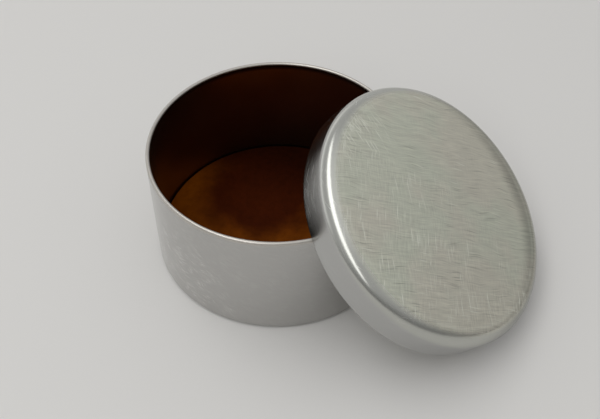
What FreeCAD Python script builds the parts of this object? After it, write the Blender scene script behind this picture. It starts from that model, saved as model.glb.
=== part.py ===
"""Shoe polish tin: a drawn metal base, its slip-on lid leaning against it, and the polish left inside.

Units are millimetres and degrees. The origin is the centre of the base's underside, +Z is up, and the
lid leans away from the base towards +X.
"""
import FreeCAD, Part
import math
import os

import Sketcher
from FreeCAD import Placement, Rotation, Vector

# Driving dimensions: the sheet's alias, its value and what it measures.
DIMENSIONS = [
    ("base_radius", 37.5, "outside radius of the base wall"),
    ("base_height", 38.0, "underside of the base to the top of its lip"),
    ("base_wall", 0.8, "sheet thickness of the base wall"),
    ("base_floor", 0.8, "sheet thickness of the base floor"),
    ("base_foot_round", 1.6, "outside radius between floor and wall"),
    ("base_corner_round", 0.8, "inside radius between floor and wall"),
    ("lip_overhang", 0.35, "how far the rolled lip stands in from the wall"),
    ("polish_depth", 1.6, "polish left on the floor"),
    ("polish_gap", 0.45, "gap where the dry polish has shrunk from the wall"),
    ("polish_edge_round", 0.25, "softened upper edge of the polish"),
    ("lid_clearance", 0.5, "slip fit of the skirt over the base wall, on the radius"),
    ("lid_wall", 0.8, "sheet thickness of the lid"),
    ("lid_height", 12.6, "edge of the skirt to the middle of the face, outside"),
    ("lid_shoulder_round", 4.2, "outside radius between skirt and face"),
    ("lid_crown", 700.0, "outside radius of the softly domed face"),
    ("lean_tilt", 36.8, "tilt of the lid where it leans on the base"),
    ("lean_gap", 0.1, "air between the edge of the skirt and the lip that it leans on"),
]

ORIGIN = (-1, 1)        # a sketch's origin, as a point for constraints
EDGE_SAMPLES = 720      # points tried round half of the skirt's edge
HALVINGS = 40           # steps that close in on the leaning place


def make_sheet(doc):
    """Spreadsheet with a row for each driving dimension."""
    sheet = doc.addObject("Spreadsheet::Sheet", "sizes")
    for row, (alias, value, meaning) in enumerate(DIMENSIONS, start=1):
        sheet.set(f"A{row}", meaning)
        sheet.set(f"B{row}", str(value))
        sheet.setAlias(f"B{row}", alias)
    doc.recompute()
    return sheet


# ---- sketch helpers ----

def add_sketch(body, name, role):
    """Sketch flat on the body's own origin plane of this role."""
    plane = next(feature for feature in body.Origin.OriginFeatures if feature.Role == role)
    sketch = body.newObject("Sketcher::SketchObject", name)
    sketch.AttachmentSupport = [(plane, "")]
    sketch.MapMode = "FlatFace"
    return sketch


def line(first, last):
    return Part.LineSegment(Vector(*first), Vector(*last))


def arc(middle, radius, first_angle, last_angle):
    """Arc that runs anticlockwise between two angles in degrees."""
    circle = Part.Circle(Vector(*middle), Vector(0, 0, 1), radius)
    return Part.ArcOfCircle(circle, math.radians(first_angle), math.radians(last_angle))


def start(item):
    """The start point of a line or arc, as a point for constraints."""
    return item, 1


def end(item):
    """The end point of a line or arc."""
    return item, 2


def centre(item):
    """The centre of an arc or circle."""
    return item, 3


def constrain(sketch, kind, *where):
    return sketch.addConstraint(Sketcher.Constraint(kind, *where))


def hold_on_axis(sketch, where):
    """Keep a point on the sketch's vertical axis, which is its item -2."""
    constrain(sketch, "PointOnObject", *where, -2)


def bind(sketch, kind, where, value, expression):
    """Dimension of this kind that follows an expression of the sheet's cells."""
    index = constrain(sketch, kind, *where, value)
    sketch.setExpression(f"Constraints[{index}]", expression)


def revolve(body, sketch, name):
    """Full turn of a half-section about the body's Z axis."""
    turned = body.newObject("PartDesign::Revolution", name)
    turned.Profile = sketch
    turned.ReferenceAxis = (sketch, ["V_Axis"])
    turned.Angle = 360.0
    sketch.Visibility = False
    return turned


# ---- the pieces ----

def make_base(doc, sheet):
    """Drawn cup: rounded foot, straight wall, and a lip rolled inwards, flush with the wall outside."""
    radius, height, wall, floor = sheet.base_radius, sheet.base_height, sheet.base_wall, sheet.base_floor
    foot, corner, bead = sheet.base_foot_round, sheet.base_corner_round, lip_bead_radius(sheet)

    bead_x, bead_y = radius - bead, height - bead
    inner_x = radius - wall
    overhang = inner_x - bead_x
    drop = math.sqrt(bead**2 - overhang**2)
    lip_end = 360 + math.degrees(math.atan2(-drop, overhang))

    body = doc.addObject("PartDesign::Body", "base_shell")
    sketch = add_sketch(body, "base_section", "XZ_Plane")
    underside, foot_arc, outside, lip, inside, corner_arc, floor_top, middle = sketch.addGeometry([
        line((0, 0), (radius - foot, 0)),
        arc((radius - foot, foot), foot, 270, 360),
        line((radius, foot), (radius, bead_y)),
        arc((bead_x, bead_y), bead, 0, lip_end),
        line((inner_x, bead_y - drop), (inner_x, floor + corner)),
        arc((inner_x - corner, floor + corner), corner, 270, 360),
        line((inner_x - corner, floor), (0, floor)),
        line((0, floor), (0, 0)),
    ])

    constrain(sketch, "Coincident", *start(underside), *ORIGIN)
    constrain(sketch, "Horizontal", underside)
    constrain(sketch, "Tangent", *end(underside), *start(foot_arc))
    constrain(sketch, "Tangent", *end(foot_arc), *start(outside))
    constrain(sketch, "Vertical", outside)
    constrain(sketch, "Tangent", *end(outside), *start(lip))
    constrain(sketch, "Coincident", *end(lip), *start(inside))
    constrain(sketch, "Vertical", inside)
    constrain(sketch, "Tangent", *end(inside), *end(corner_arc))
    constrain(sketch, "Tangent", *start(corner_arc), *start(floor_top))
    constrain(sketch, "Horizontal", floor_top)
    constrain(sketch, "Coincident", *end(floor_top), *start(middle))
    constrain(sketch, "Coincident", *end(middle), *start(underside))
    constrain(sketch, "Vertical", middle)

    bind(sketch, "DistanceX", (*ORIGIN, *start(outside)), radius, "sizes.base_radius")
    bind(sketch, "DistanceX", (*ORIGIN, *start(inside)), inner_x, "sizes.base_radius - sizes.base_wall")
    lip_radius = "(sizes.base_wall + sizes.lip_overhang) / 2"
    bind(sketch, "DistanceY", (*ORIGIN, *centre(lip)), bead_y, "sizes.base_height - " + lip_radius)
    bind(sketch, "DistanceY", (*ORIGIN, *start(floor_top)), floor, "sizes.base_floor")
    bind(sketch, "Radius", (foot_arc,), foot, "sizes.base_foot_round")
    bind(sketch, "Radius", (corner_arc,), corner, "sizes.base_corner_round")
    bind(sketch, "Radius", (lip,), bead, lip_radius)
    revolve(body, sketch, "base_turned")
    return body


def lip_bead_radius(sheet):
    """Radius of the rolled lip's round section."""
    return (sheet.base_wall + sheet.lip_overhang) / 2


def make_polish(doc, sheet):
    """Flat cake of dry polish on the base floor, cast in its corner and then shrunk from the wall."""
    radius = sheet.base_radius - sheet.base_wall - sheet.polish_gap
    body = doc.addObject("PartDesign::Body", "polish_layer")
    sketch = add_sketch(body, "polish_outline", "XY_Plane")
    outline = sketch.addGeometry(Part.Circle(Vector(0, 0, 0), Vector(0, 0, 1), radius))
    constrain(sketch, "Coincident", *centre(outline), *ORIGIN)
    bind(sketch, "Radius", (outline,), radius, "sizes.base_radius - sizes.base_wall - sizes.polish_gap")

    cake = body.newObject("PartDesign::Pad", "polish_cake")
    cake.Profile = sketch
    cake.setExpression("Length", "sizes.polish_depth")
    sketch.Visibility = False
    doc.recompute()

    lower = round_edge(body, cake, "polish_lower_edge", 0, "sizes.base_corner_round")
    doc.recompute()
    round_edge(body, lower, "polish_upper_edge", sheet.polish_depth, "sizes.polish_edge_round")
    body.setExpression("Placement.Base.z", "sizes.base_floor")
    return body


def round_edge(body, feature, name, level, radius):
    """Fillet on the largest circle of the feature at this height."""
    circles = [
        (edge.Curve.Radius, f"Edge{number}")
        for number, edge in enumerate(feature.Shape.Edges, start=1)
        if isinstance(edge.Curve, Part.Circle) and math.isclose(edge.Curve.Center.z, level, abs_tol=1e-6)
    ]
    fillet = body.newObject("PartDesign::Fillet", name)
    fillet.Base = (feature, [max(circles)[1]])
    fillet.setExpression("Radius", radius)
    return fillet


def make_lid(doc, sheet):
    """Pressed cap: softly domed face, round shoulder, straight skirt with a rounded edge."""
    wall, height, shoulder, crown = sheet.lid_wall, sheet.lid_height, sheet.lid_shoulder_round, sheet.lid_crown
    radius = lid_radius(sheet)
    edge = wall / 2
    crown_y = height - crown
    shoulder_x = radius - shoulder
    rise = math.sqrt((crown - shoulder) ** 2 - shoulder_x**2)
    shoulder_y = crown_y + rise
    meeting = math.degrees(math.atan2(rise, shoulder_x))

    body = doc.addObject("PartDesign::Body", "lid_shell")
    sketch = add_sketch(body, "lid_section", "XZ_Plane")
    face, shoulder_arc, skirt, edge_arc, lining, lining_arc, ceiling, middle = sketch.addGeometry([
        arc((0, crown_y), crown, meeting, 90),
        arc((shoulder_x, shoulder_y), shoulder, 0, meeting),
        line((radius, shoulder_y), (radius, edge)),
        arc((radius - edge, edge), edge, 180, 360),
        line((radius - wall, edge), (radius - wall, shoulder_y)),
        arc((shoulder_x, shoulder_y), shoulder - wall, 0, meeting),
        arc((0, crown_y), crown - wall, meeting, 90),
        line((0, height - wall), (0, height)),
    ])

    constrain(sketch, "Tangent", *start(face), *end(shoulder_arc))
    constrain(sketch, "Tangent", *start(shoulder_arc), *start(skirt))
    constrain(sketch, "Vertical", skirt)
    constrain(sketch, "Tangent", *end(skirt), *end(edge_arc))
    constrain(sketch, "Tangent", *start(edge_arc), *start(lining))
    constrain(sketch, "Vertical", lining)
    constrain(sketch, "Tangent", *end(lining), *start(lining_arc))
    constrain(sketch, "Tangent", *end(lining_arc), *start(ceiling))
    constrain(sketch, "Coincident", *end(ceiling), *start(middle))
    constrain(sketch, "Coincident", *end(middle), *end(face))
    constrain(sketch, "Coincident", *centre(shoulder_arc), *centre(lining_arc))
    constrain(sketch, "Coincident", *centre(face), *centre(ceiling))
    hold_on_axis(sketch, centre(face))
    hold_on_axis(sketch, end(face))
    hold_on_axis(sketch, end(ceiling))

    outside = "sizes.base_radius + sizes.lid_clearance + sizes.lid_wall"
    bind(sketch, "DistanceX", (*ORIGIN, *start(skirt)), radius, outside)
    bind(sketch, "DistanceY", (*ORIGIN, *end(face)), height, "sizes.lid_height")
    bind(sketch, "DistanceY", (*ORIGIN, *centre(edge_arc)), edge, "sizes.lid_wall / 2")
    bind(sketch, "Radius", (edge_arc,), edge, "sizes.lid_wall / 2")
    bind(sketch, "Radius", (shoulder_arc,), shoulder, "sizes.lid_shoulder_round")
    bind(sketch, "Radius", (face,), crown, "sizes.lid_crown")
    revolve(body, sketch, "lid_turned")
    body.Placement = leaning_place(sheet)
    return body


def lid_radius(sheet):
    """Outside radius of the lid's skirt."""
    return sheet.base_radius + sheet.lid_clearance + sheet.lid_wall


# ---- where the lid leans ----

def leaning_place(sheet):
    """Lid tilted towards +X, its foot on the ground and its edge just clear of the base's lip.

    The rounded edge of the skirt and the lip are two rings of round section. Their middle lines are
    circles, and the rings are lean_gap apart where these circles are nearest.
    """
    tilt = math.radians(sheet.lean_tilt)
    edge = sheet.lid_wall / 2
    bead = lip_bead_radius(sheet)
    ring = lid_radius(sheet) - edge
    lip_ring, lip_level = sheet.base_radius - bead, sheet.base_height - bead
    level = ring * math.sin(tilt) + edge
    reach = edge + bead + sheet.lean_gap

    def distance(across):
        """Least distance between the two circles with the lid's centre this far out along X."""
        least = math.inf
        for sample in range(EDGE_SAMPLES + 1):
            turn = math.pi * sample / EDGE_SAMPLES
            inwards = ring * math.cos(turn)
            plan = math.hypot(across - inwards * math.cos(tilt), ring * math.sin(turn))
            above = level + inwards * math.sin(tilt) - lip_level
            least = min(least, math.hypot(plan - lip_ring, above))
        return least

    crossing = (lip_level - level) / math.sin(tilt)
    near = crossing * math.cos(tilt) + math.sqrt(lip_ring**2 - ring**2 + crossing**2)
    far = near + ring
    for _ in range(HALVINGS):
        middle = (near + far) / 2
        if distance(middle) < reach:
            near = middle
        else:
            far = middle

    axis = Vector(math.sin(tilt), 0, math.cos(tilt))
    return Placement(Vector(far, 0, level) - axis * edge, Rotation(Vector(0, 1, 0), sheet.lean_tilt))


def check(doc, bodies):
    """Stop if anything failed to build."""
    for item in doc.Objects:
        if "Invalid" in item.State or "Error" in item.State:
            raise RuntimeError(f"{item.Name} did not build: {item.State}")
    for body in bodies:
        if body.Shape.isNull() or not body.Shape.isValid():
            raise RuntimeError(f"{body.Label} has no valid shape")


def main():
    doc = FreeCAD.newDocument("polish_tin")
    sheet = make_sheet(doc)
    bodies = [make_base(doc, sheet), make_polish(doc, sheet), make_lid(doc, sheet)]
    doc.recompute()
    check(doc, bodies)

    os.makedirs("parts", exist_ok=True)
    for body in bodies:
        body.Shape.exportStep(os.path.join("parts", body.Label + ".step"))
        box = body.Shape.BoundBox
        print(f"{body.Label}: {body.Shape.Volume:.1f} mm3, {len(body.Shape.Solids)} solid, "
              f"X {box.XMin:.2f} {box.XMax:.2f}, Y {box.YMin:.2f} {box.YMax:.2f}, Z {box.ZMin:.2f} {box.ZMax:.2f}")


main()
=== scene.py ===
"""Finish, light and camera for the open shoe polish tin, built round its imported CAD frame.

Lengths are metres. The base stands at the origin, +Z is up, and the lid leans away towards +X.
"""
import math

import bpy
import numpy as np
from mathutils import Matrix, Vector


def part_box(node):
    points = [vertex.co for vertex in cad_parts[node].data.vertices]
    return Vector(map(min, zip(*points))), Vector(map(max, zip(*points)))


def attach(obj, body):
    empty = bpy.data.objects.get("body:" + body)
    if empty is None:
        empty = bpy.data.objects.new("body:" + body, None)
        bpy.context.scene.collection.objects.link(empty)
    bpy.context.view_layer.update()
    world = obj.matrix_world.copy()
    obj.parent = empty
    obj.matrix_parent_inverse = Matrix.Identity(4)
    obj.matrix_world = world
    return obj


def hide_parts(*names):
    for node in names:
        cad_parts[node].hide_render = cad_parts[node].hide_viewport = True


MM = 0.001

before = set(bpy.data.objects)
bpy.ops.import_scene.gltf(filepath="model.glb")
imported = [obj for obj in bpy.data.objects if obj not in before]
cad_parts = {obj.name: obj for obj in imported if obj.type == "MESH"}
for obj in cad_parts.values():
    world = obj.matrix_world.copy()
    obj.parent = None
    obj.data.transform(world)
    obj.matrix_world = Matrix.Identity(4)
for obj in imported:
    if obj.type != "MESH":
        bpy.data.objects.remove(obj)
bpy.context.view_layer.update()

# ---- sizes, which match the CAD pieces ----

base_low, base_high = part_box("base_shell")
polish_low, polish_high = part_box("polish_layer")
lid_low, lid_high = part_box("lid_shell")

SHEET = 0.8 * MM                # thickness of the metal everywhere

BASE_HEIGHT = base_high.z
BASE_RADIUS = -base_low.x
FOOT_ROUND = 1.6 * MM           # outside, between the underside and the wall
CORNER_ROUND = 0.8 * MM         # inside, between the floor and the wall
LIP_BEAD = 0.575 * MM           # radius of the rolled lip
LACQUER_EDGE = 205              # degrees round the lip's bead where the lacquer starts

POLISH_RADIUS = polish_high.y
POLISH_EDGE = 0.25 * MM         # round of the polish's upper edge

LID_RADIUS = lid_high.y
LID_HEIGHT = 12.6 * MM
LID_SHOULDER = 4.2 * MM         # round between the face and the skirt
LID_CROWN = 0.7                 # radius of the dome that the face is part of
LID_TILT = math.radians(36.8)
LID_EDGE = SHEET / 2            # the skirt ends in a full round

SPOKES = 288                    # columns round every turned piece


# ---- colours ----

def colour(red, green, blue):
    return (red, green, blue, 1.0)


def grey(level):
    return colour(level, level, level)


SATIN_GREENISH = colour(0.70, 0.722, 0.61)
SATIN_WARM = colour(0.72, 0.698, 0.60)
FRESH_SCRATCH = colour(0.955, 0.963, 0.855)
SHOULDER_METAL = colour(0.52, 0.525, 0.49)
SKIRT_METAL = colour(0.49, 0.49, 0.48)
WALL_METAL = colour(0.50, 0.493, 0.48)
LIP_METAL = colour(0.53, 0.505, 0.465)
LACQUER_DARK = colour(0.25, 0.175, 0.105)
LACQUER_GOLDEN = colour(0.38, 0.29, 0.19)
WAX_BROWN = colour(0.048, 0.0076, 0.0007)
WAX_AMBER = colour(0.175, 0.044, 0.0014)
PALE_FLOOR = colour(0.72, 0.71, 0.69)


# ---- surfaces ----

def run(start, end, steps):
    """Straight line as evenly spaced points, without its last one."""
    share = np.linspace(0.0, 1.0, steps, endpoint=False)[:, None]
    return np.array(start) * (1 - share) + np.array(end) * share


def bend(centre, radius, start, end, steps):
    """Arc between two angles in degrees, without its last point: centre + radius (cos, sin)."""
    angle = np.radians(np.linspace(start, end, steps, endpoint=False))
    return np.array(centre) + radius * np.stack([np.cos(angle), np.sin(angle)], axis=1)


def turned(name, outline, place=Matrix.Identity(4), lacquer=None):
    """Closed surface of revolution.

    The outline is a list of (radius, height) from one pole on the axis to the other. Point i and
    spoke j give (r_i cos a_j, r_i sin a_j, h_i), and each pole is one vertex. The corners of each
    face carry `sheet`, the place on the unrolled metal: (a r_max, distance along the outline).
    Points carry `own`, the place before the piece is tilted, and `lacquer`, 1 where the metal is
    lacquered.
    """
    radius, height = outline[:, 0], outline[:, 1]
    angle = np.arange(SPOKES) * 2 * np.pi / SPOKES
    rings = outline[1:-1]
    ring_points = np.stack([
        rings[:, :1] * np.cos(angle),
        rings[:, :1] * np.sin(angle),
        np.broadcast_to(rings[:, 1:], (len(rings), SPOKES)),
    ], axis=-1).reshape(-1, 3)
    poles = np.array([[0, 0, height[0]], [0, 0, height[-1]]])
    own = np.concatenate([ring_points, poles])

    column = np.arange(SPOKES)
    after = (column + 1) % SPOKES
    row = np.arange(len(rings) - 1)[:, None] * SPOKES
    next_row = row + SPOKES
    quads = np.stack([row + column, row + after, next_row + after, next_row + column], axis=-1)
    first_pole, last_pole = np.full(SPOKES, len(ring_points)), np.full(SPOKES, len(ring_points) + 1)
    last_ring = (len(rings) - 1) * SPOKES
    first_fan = np.stack([first_pole, after, column], axis=-1)
    last_fan = np.stack([last_pole, last_ring + column, last_ring + after], axis=-1)
    faces = quads.reshape(-1, 4).tolist() + first_fan.tolist() + last_fan.tolist()

    mesh = bpy.data.meshes.new(name)
    mesh.from_pydata(own @ np.array(place.to_3x3()).T + np.array(place.translation), [], faces)
    mesh.shade_smooth()

    along = np.concatenate([[0], np.cumsum(np.hypot(np.diff(radius), np.diff(height)))])
    step = 2 * np.pi / SPOKES * radius.max()
    here, there = column * step, (column + 1) * step
    level = along[1:-1]
    below, above = level[:-1, None], level[1:, None]
    sheet = np.concatenate([
        face_corners((here, below), (there, below), (there, above), (here, above)),
        face_corners((here, along[0]), (there, level[0]), (here, level[0])),
        face_corners((here, along[-1]), (here, level[-1]), (there, level[-1])),
    ])
    store(mesh, "sheet", "CORNER", np.column_stack([sheet, np.zeros(len(sheet))]))
    store(mesh, "own", "POINT", own)
    if lacquer is not None:
        coated = np.concatenate([np.repeat(lacquer[1:-1], SPOKES), lacquer[[0, -1]]])
        store(mesh, "lacquer", "POINT", coated)

    piece = bpy.data.objects.new(name, mesh)
    bpy.context.scene.collection.objects.link(piece)
    return piece


def face_corners(*corners):
    """Rows of two numbers, face by face and corner by corner, from one pair of arrays a corner."""
    pairs = [np.stack(np.broadcast_arrays(*corner), axis=-1) for corner in corners]
    return np.stack(pairs, axis=-2).reshape(-1, 2)


def store(mesh, name, domain, values):
    """Mesh attribute: a vector for each row of three, or a number."""
    kind, field = ("FLOAT_VECTOR", "vector") if values.ndim == 2 else ("FLOAT", "value")
    attribute = mesh.attributes.new(name, kind, domain)
    attribute.data.foreach_set(field, np.ascontiguousarray(values, dtype=np.float32).ravel())


def base_piece():
    """Cup from the middle of the underside, up the wall, over the lip and back down inside.

    The lip's bead is part of a circle that touches the outside and the top, and ends where it
    cuts the inside of the wall.
    """
    inner = BASE_RADIUS - SHEET
    foot = (BASE_RADIUS - FOOT_ROUND, FOOT_ROUND)
    corner = (inner - CORNER_ROUND, SHEET + CORNER_ROUND)
    bead = (BASE_RADIUS - LIP_BEAD, BASE_HEIGHT - LIP_BEAD)
    overhang = inner - bead[0]
    drop = math.sqrt(LIP_BEAD**2 - overhang**2)
    bead_ends = 360 + math.degrees(math.atan2(-drop, overhang))

    bare = np.concatenate([
        run((0, 0), (foot[0], 0), steps=12),
        bend(foot, FOOT_ROUND, -90, 0, steps=12),
        run((BASE_RADIUS, FOOT_ROUND), (BASE_RADIUS, bead[1]), steps=24),
        bend(bead, LIP_BEAD, 0, LACQUER_EDGE, steps=22),
    ])
    coated = np.concatenate([
        bend(bead, LIP_BEAD, LACQUER_EDGE, bead_ends, steps=6),
        run((inner, bead[1] - drop), (inner, corner[1]), steps=24),
        bend(corner, CORNER_ROUND, 0, -90, steps=8),
        run((corner[0], SHEET), (0, SHEET), steps=12),
        [(0, SHEET)],
    ])
    lacquer = np.concatenate([np.zeros(len(bare)), np.ones(len(coated))])
    return turned("tin_base", np.concatenate([bare, coated]), lacquer=lacquer)


def polish_piece():
    """Cake of dry polish: a flat disc with round edges."""
    low, high = polish_low.z, polish_high.z
    lower_edge = (POLISH_RADIUS - CORNER_ROUND, low + CORNER_ROUND)
    upper_edge = (POLISH_RADIUS - POLISH_EDGE, high - POLISH_EDGE)
    outline = np.concatenate([
        run((0, low), (lower_edge[0], low), steps=6),
        bend(lower_edge, CORNER_ROUND, -90, 0, steps=8),
        bend(upper_edge, POLISH_EDGE, 0, 90, steps=6),
        run((upper_edge[0], high), (0, high), steps=60),
        [(0, high)],
    ])
    return turned("polish_cake", outline)


def lid_piece():
    """Cap from the middle of its ceiling, down the lining, round the edge and over the outside.

    Both shoulders share a centre, and so do both domes. The shoulder meets the dome at the angle
    at which the dome's centre sees the shoulder's centre.
    """
    shoulder_r = LID_RADIUS - LID_SHOULDER
    rise = math.sqrt((LID_CROWN - LID_SHOULDER) ** 2 - shoulder_r**2)
    crown = (0, LID_HEIGHT - LID_CROWN)
    shoulder = (shoulder_r, crown[1] + rise)
    meeting = math.degrees(math.atan2(rise, shoulder_r))
    edge = (LID_RADIUS - LID_EDGE, LID_EDGE)
    lining = LID_RADIUS - SHEET

    outline = np.concatenate([
        bend(crown, LID_CROWN - SHEET, 90, meeting, steps=30),
        bend(shoulder, LID_SHOULDER - SHEET, meeting, 0, steps=20),
        run((lining, shoulder[1]), (lining, LID_EDGE), steps=10),
        bend(edge, LID_EDGE, -180, 0, steps=14),
        run((LID_RADIUS, LID_EDGE), (LID_RADIUS, shoulder[1]), steps=12),
        bend(shoulder, LID_SHOULDER, 0, meeting, steps=32),
        bend(crown, LID_CROWN, meeting, 90, steps=60),
        [(0, LID_HEIGHT)],
    ])
    outline[0] = (0, LID_HEIGHT - SHEET)
    return turned("tin_lid", outline, place=lid_place())


def lid_place():
    """Tilt about Y, then a move that sets the edge's lowest and leftmost points on the CAD box.

    The edge is a ring of round section. Its middle circle is tilted, so its leftmost point lies
    ring cos(tilt) + section left of the circle's centre, and its lowest ring sin(tilt) + section
    below.
    """
    ring = LID_RADIUS - LID_EDGE
    centre_x = lid_low.x + ring * math.cos(LID_TILT) + LID_EDGE
    centre_z = lid_low.z + ring * math.sin(LID_TILT) + LID_EDGE
    tilt = Matrix.Rotation(LID_TILT, 4, "Y")
    move = Vector((centre_x, 0, centre_z)) - tilt @ Vector((0, 0, LID_EDGE))
    return Matrix.Translation(move) @ tilt


# ---- shader maths ----

class Value:
    """A socket whose arithmetic adds Math nodes."""

    def __init__(self, nodes, socket):
        self.nodes, self.socket = nodes, socket

    def output(self, name):
        """Another output of the same node."""
        return Value(self.nodes, self.socket.node.outputs[name])

    def math(self, operation, *others):
        inputs = dict(enumerate((self, *others)))
        return self.nodes.node("ShaderNodeMath", {"operation": operation}, inputs)

    def __add__(self, other):
        return self.math("ADD", other)

    __radd__ = __add__

    def __sub__(self, other):
        return self.math("SUBTRACT", other)

    def __rsub__(self, other):
        return (self * -1.0) + other

    def __mul__(self, other):
        return self.math("MULTIPLY", other)

    __rmul__ = __mul__

    def __truediv__(self, other):
        return self.math("DIVIDE", other)

    def __pow__(self, other):
        return self.math("POWER", other)

    def ramp(self, low, high):
        """0 at or below low, 1 at or above high, smooth between. Low may be the larger."""
        inputs = {"Value": self, "From Min": low, "From Max": high, "To Min": 0.0, "To Max": 1.0}
        return self.nodes.node("ShaderNodeMapRange", {"interpolation_type": "SMOOTHSTEP"}, inputs)


class Nodes:
    """A node tree under construction."""

    def __init__(self, tree):
        self.tree = tree

    def node(self, kind, settings=None, inputs=None, output=0):
        """Any node: its settings first, then the numbers, colours or links of its sockets."""
        node = self.tree.nodes.new(kind)
        for name, value in (settings or {}).items():
            setattr(node, name, value)
        for name, value in (inputs or {}).items():
            self.plug(node.inputs[name], value)
        return Value(self, node.outputs[output])

    def plug(self, socket, value):
        if isinstance(value, Value):
            self.tree.links.new(value.socket, socket)
        else:
            socket.default_value = value

    def split(self, vector):
        """The x, y and z of a vector."""
        x = self.node("ShaderNodeSeparateXYZ", inputs={0: vector})
        return x, x.output("Y"), x.output("Z")

    def vectors(self, operation, first, second, output=0):
        settings = {"operation": operation}
        return self.node("ShaderNodeVectorMath", settings, {0: first, 1: second}, output)

    def scaled(self, vector, amount):
        """A vector or colour times a number."""
        inputs = {0: vector, "Scale": amount}
        return self.node("ShaderNodeVectorMath", {"operation": "SCALE"}, inputs)

    def blend(self, share, first, second):
        """Mix of two colours. The Mix node has its colours at inputs 6 and 7 and output 2."""
        inputs = {0: share, 6: first, 7: second}
        return self.node("ShaderNodeMix", {"data_type": "RGBA"}, inputs, 2)


class Finish(Nodes):
    """A material under construction: a Principled shader and the nodes that feed it."""

    def __init__(self, name, **constants):
        self.material = bpy.data.materials.new(name)
        self.material.use_nodes = True
        super().__init__(self.material.node_tree)
        self.shader = self.tree.nodes["Principled BSDF"]
        for socket, value in constants.items():
            self.shader.inputs[socket.replace("_", " ")].default_value = value

    def feed(self, name, value):
        self.plug(self.shader.inputs[name], value)

    def attribute(self, name, output="Vector"):
        return self.node("ShaderNodeAttribute", {"attribute_name": name}, output=output)

    def bump(self, height, distance):
        """Normal tilted by a height in units of distance."""
        return self.node("ShaderNodeBump", {}, {"Height": height, "Distance": distance})

    def laid(self, place, angle=0.0, size=(1.0, 1.0, 1.0), start=(0.0, 0.0, 0.0)):
        """Place in a pattern that starts here, is turned by degrees, and has cells of this size."""
        turn = (0.0, 0.0, math.radians(angle))
        inputs = {"Vector": place, "Location": start, "Rotation": turn, "Scale": size}
        return self.node("ShaderNodeMapping", {"vector_type": "TEXTURE"}, inputs)

    def noise(self, place, size=1.0, detail=2.0, roughness=0.5, output=0):
        """Cloudy pattern from 0 to 1 with clouds of about this size."""
        inputs = {"Vector": place, "Scale": 1.0 / size, "Detail": detail, "Roughness": roughness}
        return self.node("ShaderNodeTexNoise", {}, inputs, output)

    def wavering(self, place, own, size, detail, amount):
        """Place moved about by clouds of this size, so that straight scratches on it drift."""
        drift = self.noise(own, size, detail, output="Color")
        return self.vectors("ADD", place, self.scaled(drift, amount))

    def clouds(self, place, seed, size, low, high):
        """Soft patches, 0 where a cloudy pattern is below low and 1 where it is above high."""
        start = (0.037 * seed, 0.0, 0.0)
        return self.noise(self.laid(place, start=start), size, detail=1.0).ramp(low, high)

    def patch(self, place, centre, radius):
        """1 at the centre and 0 from the radius on."""
        return self.vectors("DISTANCE", place, centre, "Value").ramp(radius, 0.0)

    def grain(self, place, angle, length, width):
        """Streaks of this length and width, from about -0.5 to 0.5."""
        return self.noise(self.laid(place, angle, (length, width, 1.0)), detail=3.0) - 0.5

    def strokes(self, place, angle, length, width, spread, seed):
        """Separate straight scratches, 1 at the middle of the deepest and 0 off them.

        Each cell of a stretched cell pattern has one point, and the scratch is the long thin oval
        where the distance to it is small. The spread is how many times its own size a scratch's
        cell measures each way. The cell's random number sets how deep the scratch is.
        """
        cell = (length * spread, width * spread, 1.0)
        vector = self.laid(place, angle, cell, (0.013 * seed, 0.007 * seed, 0.0))
        settings = {"voronoi_dimensions": "2D", "feature": "F1"}
        distance = self.node("ShaderNodeTexVoronoi", settings, {"Vector": vector, "Scale": 1.0})
        depth = self.node("ShaderNodeSeparateColor", inputs={0: distance.output("Color")})
        return distance.ramp(0.5 / spread, 0.0) * depth

    def scratches(self, place, layers, width, spread, shown):
        """Layers of strokes added up.

        A layer is its seed, its angle in degrees and its length in millimetres, and shown(seed)
        is how strongly it shows from place to place.
        """
        total = 0.0
        for seed, angle, length in layers:
            layer = self.strokes(place, angle, length * MM, width, spread, seed)
            total = layer * shown(seed) + total
        return total


# ---- materials ----

WIPED, SCOURED = 35, 120        # the two ways the lid's face was rubbed, in degrees from +X

# Bands over which one finish gives way to the next: where it starts, and where it is full.
POLISHED_BAND = (LID_RADIUS - 3.8 * MM, LID_RADIUS - 1.6 * MM)     # colour, from the lid's axis
GLOSSY_BAND = (LID_RADIUS - 4.2 * MM, LID_RADIUS - 2.6 * MM)       # roughness, from the lid's axis
SKIRT_BAND = (LID_HEIGHT - 3.6 * MM, LID_HEIGHT - 5.2 * MM)        # up the lid
PAINTED_RIM_SHADE_BAND = (36.6 * MM, 43.0 * MM)                              # from the axis, and outwards
LIP_BAND = (BASE_HEIGHT - 2 * LIP_BEAD, BASE_HEIGHT - 1.2 * LIP_BEAD)
AMBER_BAND = (13 * MM, 26 * MM)                                    # from the brown patch
AMBER_SHADED_BACK_BAND = (24 * MM, 8 * MM)                                  # from the back, along Y

# Roughness before clouds and scratches change it.
SATIN_ROUGH, MIRROR_ROUGH = 0.38, 0.205
WALL_ROUGH, LACQUER_ROUGH, WAX_ROUGH = 0.12, 0.20, 0.5

# Heights of the finest relief.
LID_RELIEF, BASE_RELIEF, WAX_RELIEF = 0.015 * MM, 0.012 * MM, 0.08 * MM


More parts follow.
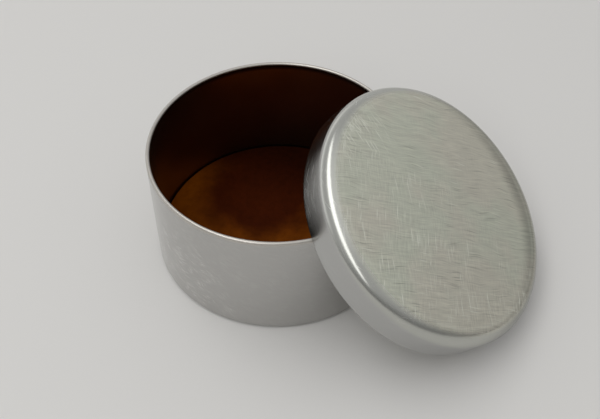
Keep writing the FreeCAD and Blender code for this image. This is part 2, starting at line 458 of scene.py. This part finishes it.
def lid_metal():
    """Satin face with crossed fine scratches, and a polished shoulder and skirt.

    The rim on the far side, towards +X and +Y, is darker: painted shade in the colour, standing in
    for the dark low surroundings that it would mirror.
    """
    finish = Finish("lid_metal", Metallic=1.0)
    own = finish.attribute("own")
    x, y, height = finish.split(own)
    from_axis = (x * x + y * y) ** 0.5
    polished = from_axis.ramp(*POLISHED_BAND)
    glossy = from_axis.ramp(*GLOSSY_BAND)
    skirt = height.ramp(*SKIRT_BAND)
    # painted shade: the far rim's colour is darkened, on the satin face and on the polished metal
    # alike
    painted_rim_shade = (from_axis + (x + y) * 0.2).ramp(*PAINTED_RIM_SHADE_BAND) * 0.36
    cloudy = finish.noise(own, 22 * MM, detail=3.0)

    grain, bright, dark = face_scratches(finish, own, y, from_axis)
    knocks, knocked = skirt_scratches(finish, own)

    satin = finish.blend(cloudy.ramp(0.38, 0.62), SATIN_GREENISH, SATIN_WARM)
    satin = finish.scaled(satin, 1.0 + grain * 0.46 - dark * 0.34 - painted_rim_shade)
    satin = finish.blend(bright * 0.95, satin, FRESH_SCRATCH)
    mirror = finish.blend(skirt, SHOULDER_METAL, SKIRT_METAL)
    mirror = finish.scaled(mirror, 1.0 + knocks * 0.5 - painted_rim_shade)
    finish.feed("Base Color", finish.blend(polished, satin, mirror))

    satin_rough = SATIN_ROUGH + cloudy * 0.06 + grain * 0.15 - bright * 0.08
    mirror_rough = MIRROR_ROUGH + cloudy * 0.04 - skirt * (0.09 - knocked * 0.14) + knocks * 0.3
    finish.feed("Roughness", satin_rough * (1 - glossy) + mirror_rough * glossy)

    relief = (grain * 0.8 - bright - dark) * (1 - polished) - knocks * polished * 0.06
    finish.feed("Normal", finish.bump(relief, LID_RELIEF))
    return finish.material


def face_scratches(finish, own, y, from_axis):
    """Grain, bright scratches and dark scratches of the lid's face.

    The face was wiped one way all over, with dark scratches in the same direction, and scoured
    across it in bright clusters, mostly on the lower half. Bright scratches fan out at the left,
    and a faint bright line of painted sheen runs round where the face ends.
    """
    place = finish.wavering(own, own, size=1 / 60, detail=2.0, amount=3.0 * MM)
    lower_half = y.ramp(12 * MM, -8 * MM)

    fine = finish.grain(place, WIPED, length=6 * MM, width=0.32 * MM)
    broad = finish.grain(place, WIPED, length=9 * MM, width=0.9 * MM)
    cross = finish.grain(place, SCOURED, length=4 * MM, width=0.35 * MM)
    patches = finish.clouds(own, seed=5, size=12 * MM, low=0.35, high=0.65)
    crossed = (lower_half * 0.6 + 0.35) * (patches * 0.8 + 0.32)
    grain = fine + broad * 0.6 + cross * crossed

    dark = finish.scratches(
        place, ((1, WIPED, 14), (2, WIPED - 7, 8), (3, WIPED + 8, 9)),
        width=0.42 * MM, spread=2.3,
        shown=lambda seed: finish.clouds(own, seed, 10 * MM, 0.45, 0.65))

    scoured = finish.scratches(
        place, ((11, SCOURED, 7), (12, SCOURED - 5, 5), (13, SCOURED + 6, 9)),
        width=0.48 * MM, spread=1.9,
        shown=lambda seed: finish.clouds(own, seed, 8 * MM, 0.50, 0.62) * lower_half)
    wiped = finish.scratches(
        place, ((21, WIPED - 8.02, 7),),
        width=0.42 * MM, spread=2.5,
        shown=lambda seed: finish.clouds(own, seed, 9 * MM, 0.45, 0.65) * 0.8)
    rubbed = finish.patch(own, centre=(-32 * MM, 1 * MM, LID_HEIGHT), radius=14 * MM) * 1.6
    fanned = finish.scratches(
        own, ((31, -22, 6), (32, -8, 6), (33, 155, 6)),
        width=0.5 * MM, spread=2.2,
        shown=lambda seed: rubbed)
    # painted sheen: a faint bright line round where the face begins to curve into the shoulder,
    # added to the bright scratches
    ring, ring_width = LID_RADIUS - 4.4 * MM, 0.8 * MM
    painted_sheen_line = from_axis.ramp(ring - ring_width, ring) * from_axis.ramp(ring + ring_width, ring)
    bright = painted_sheen_line * 0.14 + scoured + wiped + fanned
    return grain, bright, dark


def skirt_scratches(finish, own):
    """Fine scratches round the shoulder and skirt, thick where the edge has been knocked."""
    knocked = finish.patch(own, centre=(-32 * MM, -22 * MM, 3 * MM), radius=16 * MM)
    knocks = finish.scratches(
        finish.attribute("sheet"), ((41, -12, 7), (42, -3, 7), (43, 8, 7), (44, 24, 7)),
        width=0.28 * MM, spread=2.4,
        shown=lambda seed: finish.clouds(own, seed, 8 * MM, 0.42, 0.66) * (knocked + 0.25))
    return knocks, knocked


def base_metal():
    """Polished sheet, a satin lip, and dark golden lacquer over the metal inside.

    Faint short scratches lie in a drifting patch where a hand grips the wall.
    """
    finish = Finish("base_metal", Metallic=1.0)
    own = finish.attribute("own")
    lacquer = finish.attribute("lacquer", "Fac")
    _, _, height = finish.split(own)
    lip = height.ramp(*LIP_BAND)
    cloudy = finish.noise(own, 18 * MM, detail=3.0)

    place = finish.wavering(finish.attribute("sheet"), own, size=1 / 45, detail=1.0, amount=4 * MM)
    gripped = finish.patch(own, centre=(-17 * MM, -33 * MM, 13 * MM), radius=30 * MM)
    scratched = finish.scratches(
        place, ((61, -52, 3), (62, -34, 4), (63, -15, 5), (64, 8, 4)),
        width=0.2 * MM, spread=1.9,
        shown=lambda seed: finish.clouds(own, seed, 6 * MM, 0.40, 0.62) * (gripped + 0.2))

    bare = finish.scaled(finish.blend(lip, WALL_METAL, LIP_METAL), 1.0 + scratched * 0.85)
    coat = finish.blend(cloudy, LACQUER_DARK, LACQUER_GOLDEN)
    finish.feed("Base Color", finish.blend(lacquer, bare, coat))

    bare_rough = WALL_ROUGH + cloudy * 0.06 + scratched * 0.25 + lip * 0.22
    coat_rough = LACQUER_ROUGH + cloudy * 0.1
    finish.feed("Roughness", bare_rough * (1 - lacquer) + coat_rough * lacquer)

    relief = cloudy * 0.4 - scratched * (1 - lacquer) * 0.08
    finish.feed("Normal", finish.bump(relief, BASE_RELIEF))
    return finish.material


def dry_polish():
    """Dry wax, almost matte and blotched: brown at the back and in a patch left of the middle.

    The wax is amber beyond a ragged edge round that patch. Towards the back wall the amber fades
    out and the wax darkens: painted shade, which also makes the brown at the back.
    """
    finish = Finish("dry_polish", Specular_IOR_Level=0.03)
    own = finish.attribute("own")
    _, y, _ = finish.split(own)
    blotches = finish.noise(
        finish.laid(own, start=(0.11, 0.04, 0.0)), 15 * MM, detail=3.0, roughness=0.6)
    fine = finish.noise(own, 1.8 * MM, detail=5.0, roughness=0.65)

    brown_patch = (-11 * MM, 12 * MM, polish_high.z)
    from_brown = finish.vectors("DISTANCE", own, brown_patch, "Value")
    ragged = from_brown + (blotches - 0.5) * (14 * MM)
    # painted shade: the amber fades out towards the back, which lies in the wall's shade, and
    # leaves the wax brown there
    amber = ragged.ramp(*AMBER_BAND) * y.ramp(*AMBER_SHADED_BACK_BAND)
    wax = finish.blend(amber, WAX_BROWN, WAX_AMBER)

    mottled = (1.1 - fine.ramp(0.3, 0.8) * 0.3) * (0.75 + blotches * 0.5)
    # painted shade: the wax darkens towards the back wall, where the wall's shade falls
    painted_back_shade = 1.0 - (y / POLISH_RADIUS).ramp(0.1, 0.9) * 0.6
    finish.feed("Base Color", finish.scaled(wax, mottled * painted_back_shade))
    finish.feed("Roughness", WAX_ROUGH + fine * 0.25)
    finish.feed("Normal", finish.bump(fine * 0.6 + blotches * 2.0, WAX_RELIEF))
    return finish.material


# ---- floor, light and camera ----

def pale_floor():
    """Plain square so wide that its sides are out of sight."""
    reach = 20.0
    corners = [(-reach, -reach, 0), (reach, -reach, 0), (reach, reach, 0), (-reach, reach, 0)]
    mesh = bpy.data.meshes.new("floor")
    mesh.from_pydata(corners, [], [(0, 1, 2, 3)])
    floor = bpy.data.objects.new("floor", mesh)
    bpy.context.scene.collection.objects.link(floor)
    finish = Finish("pale_floor", Base_Color=PALE_FLOOR, Roughness=0.9, Specular_IOR_Level=0.1)
    mesh.materials.append(finish.material)


def surroundings():
    """Grey all round, by direction.

    The horizon is dark at the front and right and paler at the back and left, where a low pale
    panel stands. It turns to mid-grey higher up, and to pale grey overhead.
    """
    world = bpy.data.worlds.new("studio")
    world.use_nodes = True
    nodes = Nodes(world.node_tree)
    right, back, up = nodes.split(nodes.node("ShaderNodeTexCoord", output="Generated"))
    back_left = (back * 0.5 - right * 0.85).ramp(-0.7, 0.9)
    horizon = nodes.blend(back_left, grey(0.155), grey(0.65))
    walls = nodes.blend(up.ramp(-0.05, 0.6), horizon, grey(0.535))
    panel = (back * 0.2 - right).ramp(0.5, 0.9) * up.ramp(0.04, 0.12) * up.ramp(0.32, 0.24)
    walls = nodes.blend(panel, walls, grey(1.1))
    sky = nodes.blend(up.ramp(0.75, 1.0), walls, grey(0.84))
    nodes.plug(world.node_tree.nodes["Background"].inputs["Color"], sky)
    bpy.context.scene.world = world


def overhead_softbox():
    """Long oval lamp above the front, facing straight down and turned most of a right angle."""
    light = bpy.data.lights.new("overhead_softbox", "AREA")
    light.shape, light.size, light.size_y = "ELLIPSE", 2.8, 0.46
    light.energy = 5.2
    softbox = bpy.data.objects.new("overhead_softbox", light)
    softbox.location = (-0.12, -0.70, 0.9)
    softbox.rotation_euler = (0, 0, math.radians(-68))
    bpy.context.scene.collection.objects.link(softbox)


def camera():
    """View from the front, well above, with the base at the left and the lid at the right."""
    aim = Vector((9.7, -5.7, 20.0)) * MM
    turn, rise, distance = math.radians(-66.9), math.radians(47.86), 268.6 * MM
    level = math.cos(rise)
    towards = Vector((math.cos(turn) * level, math.sin(turn) * level, math.sin(rise)))
    data = bpy.data.cameras.new("camera")
    data.lens, data.sensor_width = 54.7, 36.0
    data.clip_start = 0.01
    holder = bpy.data.objects.new("camera", data)
    holder.location = aim + towards * distance
    holder.rotation_euler = towards.to_track_quat("Z", "Y").to_euler()
    bpy.context.scene.collection.objects.link(holder)
    bpy.context.scene.camera = holder


# ---- the scene ----

def dress(piece, material, node, body):
    """Give a piece its material, and let it stand for a CAD node on a body."""
    piece.data.materials.append(material)
    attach(piece, body)
    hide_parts(node)


dress(base_piece(), base_metal(), "base_shell", "base")
dress(polish_piece(), dry_polish(), "polish_layer", "base")
dress(lid_piece(), lid_metal(), "lid_shell", "lid")
pale_floor()
surroundings()
overhead_softbox()
camera()
bpy.context.scene.view_settings.view_transform = "Standard"
